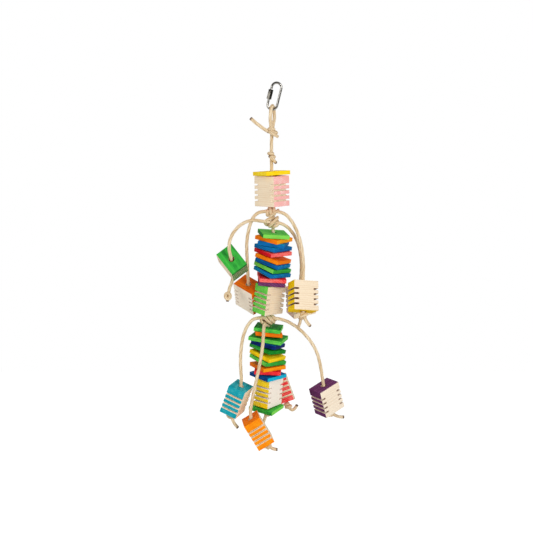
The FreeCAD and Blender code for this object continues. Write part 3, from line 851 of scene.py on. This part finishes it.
# %% Tie knots
UPPER_TIE_1 = (
    ((9, 3, 2), (8, -5, 2.5), (2, -8.5, -1), (-4.5, -6.5, -6), (-5, 2, -7), (1, 6, -3)),
)
UPPER_TIE_2 = (
    ((8, 4, 7), (8, -3, 7), (2.5, -9, 3), (-4, -8.5, -4), (-5.5, -1, -8), (-1, 5, -6)),
    ((-1, 4, -5), (-8, 3, -6), (-13, -1.5, -2), (-10.5, -6, 4), (-3, -6, 7.5), (3, 2, 7)),
    ((-4, 2, -7), (1, -5.5, -7.5), (8, -6, -4), (10, 0, 0), (6, 6, 2)),
)
LOWER_TIE = (
    ((-8, 4, 6), (-8, -4, 7), (-2, -8.8, 4), (5, -8, -3), (7.5, -1, -7), (2, 5, -7)),
    ((-1, 4, 8.5), (0, -4, 9), (5, -8.5, 5), (10.5, -6, -1.5), (12, 0, -5), (7, 5, -6)),
    ((-2, 4, 1), (-9, 2, 1.5), (-10.5, -5, -1), (-5, -8, -5), (0, -5, -9), (1, 3, -9)),
    ((3, 4, 9), (7, -2, 9), (12, -5, 5.5), (15, -3, 1), (13, 3, -1)),
)
TO_FRONT = Vector((-0.0015, -0.0032, 0))
SECOND_TIE = Vector((0, 0, -0.017))
tie_1 = upper_tie + TO_FRONT
tie_2 = tie_1 + SECOND_TIE
tie_3 = lower_tie + TO_FRONT
tie_turns = tie_1 + Vector((-0.003, -0.0005, 0.001))
sideways = Vector((1, 0, 0.1))


def laid_lines(centre, strands):
    return [laid_line(centre, *points) for points in strands]


tie_knots = [
    knot_object(
        "upper_tie_1",
        wound_line(tie_turns, sideways, turns=2.6, pitch=0.0058, radius=0.0060, spin=0.3, lean=0.2),
        *laid_lines(tie_1, UPPER_TIE_1),
    ),
    knot_object("upper_tie_2", *laid_lines(tie_2, UPPER_TIE_2)),
]
lower_tie_knot = knot_object("lower_tie", *laid_lines(tie_3, LOWER_TIE))
print("ties:", [piece.name for piece in (*tie_knots, lower_tie_knot)])

# %% [markdown]
# The CAD's beads are hidden, and the tied knots take their place in the picture.

# %% Knots in place of the beads
for piece in main_knots:
    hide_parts("main_rope_knots")
for piece in tie_knots:
    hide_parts("upper_tie_knots")
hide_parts("lower_tie_knot")
for block, piece in stopper_knots.items():
    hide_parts(f"{block.split('_')[0]}_stopper_knots")
print(len(main_knots) + len(tie_knots) + len(stopper_knots) + 1, "knots replace beads")

# %% [markdown]
# ## The facts of each rope
#
# For each rope its real length and thickness, where it starts, and which knots are on it are
# gathered, and its CAD rope is hidden. The tail of the loop has nothing on its cut end.

ON_ROPE = {"main_rope": main_knots}
for name, (_, first_end, _, last_end) in SIDE_ROPES.items():
    ON_ROPE[name] = [stopper_knots[first_end[0]], stopper_knots[last_end[0]]]
ON_ROPE["upper_rope_1"].append(tie_knots[0])
ON_ROPE["upper_rope_2"].append(tie_knots[1])
ON_ROPE["lower_rope_1"].append(lower_tie_knot)
for name, line in lines.items():
    piece = rope_pieces[name]
    facts = {"diameter": ROPE, "length": length_of(line), "exit": line[0], "path": line}
    if name == "loop_tail":
        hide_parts("main_rope")
    else:
        facts["with_pieces"] = ON_ROPE[name]
        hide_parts(name)
print("declared", len(lines), "ropes")

# %% [markdown]
# ## Dyed wood
#
# The pieces are sawn pine that was dipped in food dye. The grain is a solid texture in each piece's
# own axes, so it runs through the wood: long lines on the sides and rings on the ends. A flat
# picture of grain would not meet at the edges. Rings are the distance from the middle of the tree,
# turned into waves and bent by a slow noise.
#
# The saw cuts were made after the dyeing and show bare wood. The blade scorched the wood where it
# stopped, which leaves a row of small dark marks beside the grooves of each block.

# %% Scorch marks
KERF_FLOOR = 0.0138
FIRST_KERF = 0.01055
KERF_PITCH = 0.0084
KERFS_MIDDLE = -0.002
KERFS_END = (0.0150, 0.0162)
MARK_REACH = (0.0006, 0.0019)


def scorch_marks(wood_axes):
    """Small dark marks where each saw cut of a block ends."""
    from_floor = (wood_axes.part(0).absolute() - KERF_FLOOR).absolute()
    wave = (wood_axes.part(2) - FIRST_KERF) * (2 * math.pi / KERF_PITCH) + math.pi / 2
    beyond = (wood_axes.part(2) - KERFS_MIDDLE).absolute().ramp(*KERFS_END)
    return (1 - from_floor.ramp(*MARK_REACH)) * wave.sine().ramp(0.2, 0.85) * (1 - beyond)


print("a scorch mark at every", KERF_PITCH * 1000, "mm")

# %% [markdown]
# One function makes the wood of every dye from three tones: the usual one, a deep one where the
# wood drinks most, and a thin one where it took little. The deep tone also serves as painted shade
# and the thin one as painted light, on the faces that the depth table tips towards them. Noise of
# several sizes moves between the tones, as dye on real wood is never even. Each texture is
# stretched along the grain: its first number is how fast it changes along the grain, and the
# others across it.

# %% Year rings
PITH_Y = -0.035
PITH_Z = -0.065
RING_WAVES = 2100
WARPED = 16.0
WARP = (9, 26, 26)
FADING = (20, 120, 120)


def year_rings(wood, local):
    """Late wood from 0 to 1: thin waves round the middle of the tree that fade in and out."""
    warp = wood.noise(wood.scaled(local, WARP), 1.0, 3.0)
    pith = ((local.part(1) - PITH_Y) ** 2.0 + (local.part(2) - PITH_Z) ** 2.0) ** 0.5
    waves = ((pith * RING_WAVES + warp * WARPED).sine() * 0.5 + 0.5) ** 3.0
    return waves * wood.noise(wood.scaled(local, FADING), 1.0).ramp(0.3, 0.65)


print("a year ring is about", round(2000 * math.pi / RING_WAVES, 1), "mm wide")

# %% Wood of one dye
NATURAL = linear(245, 226, 197)
LATE_WOOD = linear(224, 190, 150)
# near white, for bare wood whitened partly as painted light
PALE_AND_LIT_WOOD = linear(254, 246, 234)
# brown of saw burn, also used as painted shade in the cuts
SCORCHED_AND_SHADED = linear(130, 74, 34)
PORE = linear(190, 148, 104)
FIBRES = (55, 1300, 1300)
BLOTCHES = (50, 110, 110)
PORES = (420, 5200, 5200)


def wood_material(name, dye, deep_and_shaded, thin):
    """A dyed wood: usual tone, deep tone for soaked dye and painted shade, thin tone for thin dye
    and painted light.
    """
    wood = Shader(bpy.data.materials.new(name))
    local = wood.attribute("local", vector=True)
    own = wood.attribute("own", vector=True)
    names = ("dyed", "marked", "soaked", "scorch", "pale")
    dyed, marked, soaked, scorch, pale = [wood.attribute(stored) for stored in names]
    ring = year_rings(wood, local)
    fibres = wood.noise(wood.scaled(local, FIBRES), 1.0, 4.0, 0.65)
    blotch = wood.noise(wood.scaled(local, BLOTCHES), 1.0, 3.0, 0.6)
    pores = wood.noise(wood.scaled(local, PORES), 1.0).ramp(0.64, 0.8)
    uneven = (fibres - 0.5) * 0.3
    bare = wood.mix(ring * 0.6, NATURAL, LATE_WOOD)
    bare = wood.mix(fibres.ramp(0.48, 0.78) * 0.35, bare, LATE_WOOD)
    # painted light: bare wood is whitened where the stored pale value is set
    bare = wood.mix(pale, bare, PALE_AND_LIT_WOOD)
    # saw burn and painted shade: cuts and holes darken by the stored scorch value
    bare = wood.mix((scorch + uneven).ramp(0.1, 1.0), bare, SCORCHED_AND_SHADED)
    bare = wood.mix(scorch_marks(own) * marked, bare, SCORCHED_AND_SHADED)
    # painted light and shade: each face's listed value pushes it towards the deep or the thin tone
    depth_and_light = soaked + (blotch - 0.5) * 1.6 + (fibres - 0.5) * 0.7 - ring * 0.6
    colour = wood.mix(depth_and_light.ramp(0.0, 1.1), dye, deep_and_shaded)
    colour = wood.mix((0 - depth_and_light).ramp(0.0, 1.1), colour, thin)
    colour = wood.mix((dyed + uneven).ramp(0.4, 0.6), bare, colour)
    colour = wood.mix(pores * 0.3, colour, PORE, "MULTIPLY")
    height = ring * 0.3 + fibres * 0.5 - pores * 0.4
    looks = {"Base_Color": colour, "Roughness": 0.6 + blotch * 0.25, "Specular_IOR_Level": 0.12}
    return wood.finish(bump=height, distance=0.00015, **looks)


print("bare wood in linear values:", [round(value, 2) for value in NATURAL[:3]])

# %% Dyes
# each dye: its usual, deep and thin tone; deep also paints shade, thin also paints light
DYES = {
    "green": ((62, 184, 66), (8, 112, 40), (128, 218, 84)),
    "dark_green": ((18, 138, 36), (4, 94, 34), (72, 190, 80)),
    "orange": ((246, 122, 0), (220, 96, 2), (252, 158, 12)),
    "blue": ((2, 104, 172), (2, 46, 118), (10, 180, 216)),
    "dark_blue": ((2, 54, 132), (2, 18, 84), (0, 128, 204)),
    "red": ((240, 44, 54), (206, 4, 26), (255, 132, 124)),
    "pink": ((250, 180, 174), (232, 112, 122), (255, 226, 218)),
    "yellow": ((255, 212, 6), (230, 176, 2), (255, 232, 70)),
    "purple": ((100, 42, 92), (60, 12, 56), (142, 92, 134)),
    "teal": ((12, 156, 170), (2, 118, 136), (92, 198, 202)),
}
dyed_wood = {}
for dye, tones in DYES.items():
    dyed_wood[dye] = wood_material(f"{dye}_wood", *[linear(*tone) for tone in tones])
print("woods:", ", ".join(dyed_wood))

# %% [markdown]
# Every face of a piece has its own depth of colour. Part of it is the wood, as end grain drinks
# more dye than long grain. Part is painted light and shade: faces that show at the left are mostly
# painted deeper, as if in shade, and faces at the right are painted paler, as if washed by the key
# light.
# The depth of each face is listed, from 1 for the deepest to -1 for the thinnest. A slat has values
# for the edges that show at its left and right and for its flat faces, and each stack is listed
# from its top. A block has them for its grooved sides and its drilled ends, and a third value, from
# 0 to
# 1, says how much the saw scorched it. That value also paints shade into its cuts. A few blocks
# have whiter bare wood, as of a paler board, and for the lower block this is also painted light.

# %% Depth of the dye
# painted light and shade: left edges are mostly deeper and right edges paler, as the key light
# falls
UPPER_SLATS = (
    (1.0, -1.0, -0.3), (0.2, -1.0, -0.3), (0.2, 0.4, -0.2), (0.1, 0.4, -0.2),
    (0.8, -0.5, -0.3), (-0.2, 0.0, 0.5), (0.4, -0.2, 0.0), (-0.7, 0.5, 0.8),
    (-0.2, 0.0, 0.2), (-0.6, -0.5, 0.5), (0.8, -0.1, 0.0),
)
LOWER_SLATS = (
    (-0.2, -0.4, 0.8), (0.6, 0.5, 0.2), (-0.3, -0.3, 0.6), (0.8, 0.8, -1.0),
    (-0.2, 0.2, 0.6), (0.4, 0.0, 0.0), (-0.4, 0.3, 0.4), (0.6, -0.7, 0.4),
    (0.0, -0.3, 0.8), (0.9, -1.0, 0.3),
)
SLAT_DYE_AND_LIGHT = {"cap_slat": (-0.3, 0.1, 0.0), "base_slat": (0.6, -0.9, 0.0)}
for stack, rows in (("upper", UPPER_SLATS), ("lower", LOWER_SLATS)):
    for number, row in enumerate(rows, 1):
        SLAT_DYE_AND_LIGHT[f"{stack}_slat_{number:02}"] = row
# sides, ends and burn of each block; a high burn value also paints shade into the cuts
BLOCK_DYE_BURN_AND_SHADE = {
    "top_block": (-0.1, 0.3, 0.0),
    "centre_block": (-0.5, -0.2, 0.35),
    "lower_block": (-0.3, 0.2, 0.35),
    # painted shade: the green block's deep sides and full burn value darken it as if in shadow
    "upper_green_block": (1.0, 0.35, 1.0),
    "upper_orange_block": (0.3, 1.0, 0.5),
    "upper_yellow_block": (0.3, 0.6, 0.95),
    "upper_pink_block": (-0.6, 0.5, 0.3),
    "lower_teal_block": (0.0, -0.2, 0.1),
    "lower_orange_block": (-0.5, 0.1, 0.08),
    "lower_purple_block": (0.4, 0.0, 0.75),
    "lower_red_block": (-0.3, 0.2, 0.1),
}
# painted light: the lower block's bare wood is whitened as if washed out by light; the others as a
# paler board
PALER_AND_LIT = {"lower_block": 0.8, "upper_orange_block": 0.45, "lower_purple_block": 0.3}
print(len(SLAT_DYE_AND_LIGHT), "slats and", len(BLOCK_DYE_BURN_AND_SHADE), "blocks")

# %% [markdown]
# Most names in the CAD end with the dye of the piece. Five pieces of the main rope are named for
# their place instead, and their dyes are listed.

# %% Dye of a piece
FIXED_DYES = {
    "cap_slat": "yellow",
    "base_slat": "green",
    "top_block": "pink",
    "centre_block": "green",
    "lower_block": "yellow",
}


def dye_of(node):
    if node in FIXED_DYES:
        return FIXED_DYES[node]
    words = node.replace("_block", "").split("_")
    return f"dark_{words[-1]}" if "dark" in words else words[-1]


print(sum(dye_of(node) == "green" for node in wooden), "pieces are green")

# %% [markdown]
# ## Wooden pieces
#
# Each piece starts from its CAD mesh, so it keeps its exact size and place. Flat faces are merged
# and sharp edges are rounded a little, because sawn blocks are tumbled before they are dyed. The
# bevel is on the mesh and not in the shader, so that it also softens the outline of a piece.

# %% Rounded edges
EDGE = 0.0004
EDGE_ANGLE = 0.6
FLAT = math.radians(1)
WOOD_SHARP = math.radians(40)


def worn_mesh(node, sharp=WOOD_SHARP):
    """The CAD mesh with its flat faces merged and its edges rounded."""
    shape = bmesh.new()
    shape.from_mesh(frame["nodes"][node].data)
    bmesh.ops.remove_doubles(shape, verts=shape.verts, dist=1e-6)
    bmesh.ops.dissolve_limit(shape, angle_limit=FLAT, verts=shape.verts, edges=shape.edges)
    paired = [edge for edge in shape.edges if len(edge.link_faces) == 2]
    bmesh.ops.bevel(
        shape,
        geom=[edge for edge in paired if edge.calc_face_angle() > EDGE_ANGLE],
        offset=EDGE,
        offset_type="OFFSET",
        segments=2,
        profile=0.6,
        affect="EDGES",
        clamp_overlap=True,
    )
    many_sided = [face for face in shape.faces if len(face.verts) > 4]
    bmesh.ops.triangulate(shape, faces=many_sided)
    mesh = bpy.data.meshes.new(f"{node}_worn")
    shape.to_mesh(mesh)
    shape.free()
    mesh.shade_smooth()
    mesh.set_sharp_from_angle(angle=sharp)
    return mesh


print("edges are rounded by", EDGE * 1000, "mm")

# %% [markdown]
# What the material needs is stored on the corners of the faces, which keeps the border between
# dyed and bare wood as sharp as the real edge. Stored on the points, it would blur across a face.
# A slat is dyed all over, and a block on its grooved sides and drilled ends only. Its other two
# sides are bare. Its cuts show fresh wood, whitened a little, partly as fresh wood and partly as
# painted light. The cuts darken more and more towards the floor, as saw burn and as painted shade.

# %% Finish of a slat
SKIN = 0.0008
BORE_RADIUS = 0.0052
DYE_IN_HOLE = 0.45
BROWN_IN_SLAT = 0.2


def in_hole(own, normal, halves):
    """Which corners are on the wall of the drilled hole."""
    near = np.hypot(own[:, 0], own[:, 1]) < BORE_RADIUS
    below_end = np.abs(own[:, 2]) < halves[2] - SKIN / 2
    return near & below_end & (np.abs(normal[:, 2]) < 0.5)


def left_edge_axis(axes):
    """0 or 1: the own axis whose side, where it faces the viewer, looks further to the left."""
    shown = [axis if axis.y < 0 else -axis for axis in axes[:2]]
    return 0 if shown[0].x < shown[1].x else 1


def slat_dye_and_painted_light(node, own, normal, axes, halves):
    """The dye, painted light and shade, and browning at the corners of a slat, from their own
    places and normals.
    """
    left, right, flat = SLAT_DYE_AND_LIGHT["_".join(node.split("_")[:3])]
    by_axis = (left, right, flat) if left_edge_axis(axes) == 0 else (right, left, flat)
    hole = in_hole(own, normal, halves)
    return {
        "dyed": np.where(hole, DYE_IN_HOLE, 1.0),
        "soaked": np.array(by_axis)[np.argmax(np.abs(normal), axis=1)],
        "scorch": BROWN_IN_SLAT * hole,
        "marked": np.zeros(len(own)),
        "pale": np.zeros(len(own)),
    }


lefts = [left_edge_axis(frames[name][1]) for name in wooden if "slat" in name]
print(lefts.count(0), "slats show their X side at the left, and", lefts.count(1), "their Y side")

# %% Finish of a block
KERF_REACH = 0.007
# painted light: cut walls and floors are whitened a little, partly as fresh wood
FRESH_AND_LIT = 0.4
BROWN_IN_BLOCK = 0.35


def block_dye_burn_and_painted_light(node, own, normal, halves):
    """The dye, painted light and shade, and saw burn at the corners of a block, from their own
    places and normals.
    """
    sides, ends, burn_and_shade = BLOCK_DYE_BURN_AND_SHADE[node]
    facing = np.argmax(np.abs(normal), axis=1)
    width = np.abs(own[:, 0])
    hole = in_hole(own, normal, halves)
    outer = (facing == 0) & (width > halves[0] - SKIN)
    end = (facing == 2) & (np.abs(own[:, 2]) > halves[2] - SKIN)
    cut_wall = (facing == 2) & ~end
    cut_floor = (facing == 0) & ~outer & ~hole
    inward = np.clip((halves[0] - width) / KERF_REACH, 0, 1)
    # the cuts darken towards their floor: saw burn, and painted shade where the burn value is high
    scorch = np.where(cut_wall, burn_and_shade * (0.6 + 0.35 * inward**2), 0.0)
    scorch = np.where(cut_floor, 0.1 + 0.85 * burn_and_shade, scorch)
    return {
        "dyed": (outer | end).astype(float),
        "soaked": np.where(facing == 2, ends, sides),
        "scorch": np.where(hole, BROWN_IN_BLOCK, scorch),
        "marked": np.where(facing == 1, 0.15 + 0.8 * burn_and_shade, 0.0),
        "pale": PALER_AND_LIT.get(node, 0.0) + FRESH_AND_LIT * (cut_wall | cut_floor),
    }


print("the dyed skin is", SKIN * 1000, "mm thick")

# %% [markdown]
# Now each piece is made. Its grain is shifted by its number, as if each were sawn from another
# part of the board, so that no two show the same rings.

# %% Wooden pieces


def wooden_piece(node, number):
    """A slat or block in its own dye, in place of its CAD node."""
    centre, axes, halves = frames[node]
    mesh = worn_mesh(node)
    points, normals, _ = mesh_arrays(mesh)
    point_of_corner = np.zeros(len(mesh.loops), int)
    mesh.loops.foreach_get("vertex_index", point_of_corner)
    corners_of_face = [face.loop_total for face in mesh.polygons]
    face_of_corner = np.repeat(np.arange(len(mesh.polygons)), corners_of_face)
    turn = np.array(axes).T
    own = ((points - np.array(centre)) @ turn)[point_of_corner]
    normal = (normals @ turn)[face_of_corner]
    if node.endswith("block"):
        finish = block_dye_burn_and_painted_light(node, own, normal, halves)
    else:
        finish = slat_dye_and_painted_light(node, own, normal, axes, halves)
    shift = (0.13 * number, 0.005 * (number % 7), 0.023 * (number % 5))
    write_attribute(mesh, "own", "FLOAT_VECTOR", own, "CORNER")
    write_attribute(mesh, "local", "FLOAT_VECTOR", own + shift, "CORNER")
    for name, values in finish.items():
        write_attribute(mesh, name, "FLOAT", values, "CORNER")
    dye = dye_of(node)
    piece = new_piece(f"{node}_wood", mesh, dyed_wood[dye], "toy")
    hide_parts(node)
    return piece


wooden_pieces = [wooden_piece(node, number) for number, node in enumerate(sorted(wooden))]
faces = sum(len(piece.data.polygons) for piece in wooden_pieces)
print(len(wooden_pieces), "wooden pieces,", faces, "faces")

# %% [markdown]
# ## Steel
#
# The quick link is bright plated wire, and its nut is a little darker in the photograph. Both are
# metal, so their colour is only the tint of what they reflect. Fine scratches make the roughness
# uneven, and stains dull the plating in places.

# %% Steel materials
SCRATCHES = (900, 900, 120)
STAINS = 160


def steel_material(name, bright, dull):
    steel = Shader(bpy.data.materials.new(name))
    place = steel.add("ShaderNodeTexCoord", output="Object")
    scratches = steel.noise(steel.scaled(place, SCRATCHES), 1.0, 3.0, 0.6)
    stains = steel.noise(place, STAINS, 2.0)
    colour = steel.mix(stains.ramp(0.4, 0.8) * 0.5, linear(*bright), linear(*dull))
    looks = {"Base_Color": colour, "Metallic": 1.0, "Roughness": 0.16 + scratches * 0.16}
    return steel.finish(bump=scratches, distance=0.00003, **looks)


wire_look = steel_material("plated_steel", (196, 193, 186), (146, 141, 132))
nut_look = steel_material("nut_steel", (112, 108, 100), (62, 59, 54))
print("steels:", wire_look.name, "and", nut_look.name)

# %% [markdown]
# The link is one wire, bent twice through half a turn and open on its left side, where the sleeve
# nut closes it. Both ends are threaded. A true thread is a spiral, but at this size plain rings
# look alike, so the wire's radius just goes up and down near its ends.

# %% Line of the bent wire
LEAN = math.radians(14)
BEND = 0.00765
BEND_STEPS = 80
STRAIGHT = 0.0277
UPPER_END = -0.006
LOWER_END = -0.011
link_turn = Matrix.Rotation(LEAN, 3, "Y")
link_top = Vector((0, 0, -0.00565))


def half_turn(level, start):
    """Half a turn of the wire, clockwise from a start angle, round a middle at some level."""
    points = []
    for step in range(BEND_STEPS + 1):
        angle = start - math.pi * step / BEND_STEPS
        points.append(Vector((BEND * math.cos(angle), 0, BEND * math.sin(angle) + level)))
    return points


def link_line():
    """The line of the bent wire, from its upper threaded end round to the lower one."""
    upper_end = Vector((-BEND, 0, UPPER_END))
    lower_end = Vector((-BEND, 0, LOWER_END))
    points = [upper_end, *half_turn(0, math.pi), *half_turn(-STRAIGHT, 0), lower_end]
    return np.array([link_top + link_turn @ point for point in points])


bent_line = link_line()
print("the wire was", round(length_of(bent_line) * 1000), "mm long before bending")

# %% Threaded wire
WIRE = 0.004
WIRE_AROUND = 24
WIRE_STEP = 0.0008
UPPER_THREAD = 0.0045
LOWER_THREAD = 0.0115
THREAD_PITCH = 0.0008
THREAD_DEPTH = 0.00016


def wire_radii(travelled, length):
    """The radius at each place along the wire, with thread grooves near both ends."""
    has_thread = (travelled < UPPER_THREAD) | (travelled > length - LOWER_THREAD)
    groove = 0.5 - 0.5 * np.cos(2 * math.pi * travelled / THREAD_PITCH)
    return WIRE / 2 - THREAD_DEPTH * groove * has_thread


def wire_mesh(name, line):
    """The wire as a round tube, with points close together where it is threaded."""
    length = length_of(line)
    fine = THREAD_PITCH / 6
    upper = np.arange(0, UPPER_THREAD, fine)
    middle = np.arange(UPPER_THREAD, length - LOWER_THREAD, WIRE_STEP)
    lower = np.arange(length - LOWER_THREAD, length, fine)
    stations = np.concatenate([upper, middle, lower, [length]])
    angle = 2 * math.pi * np.arange(WIRE_AROUND)[None, :] / WIRE_AROUND
    return tube_mesh(name, points_at(line, stations), angle, wire_radii(stations, length)[:, None])


bent_wire = wire_mesh("link_wire", bent_line)
wire = new_piece("link_wire", bent_wire, wire_look, "link")
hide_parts("quick_link")
print("the wire has", len(bent_wire.polygons), "faces")

# %% [markdown]
# The nut is a hexagonal sleeve that screws over the gap. It keeps its CAD shape with softened
# edges. It rides on a body of its own.

# %% Sleeve nut
NUT_SHARP = math.radians(30)
nut_mesh = worn_mesh("link_nut", NUT_SHARP)
nut = new_piece("sleeve_nut", nut_mesh, nut_look, "nut")
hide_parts("link_nut")
print("the nut has", len(nut_mesh.polygons), "faces")

# %% [markdown]
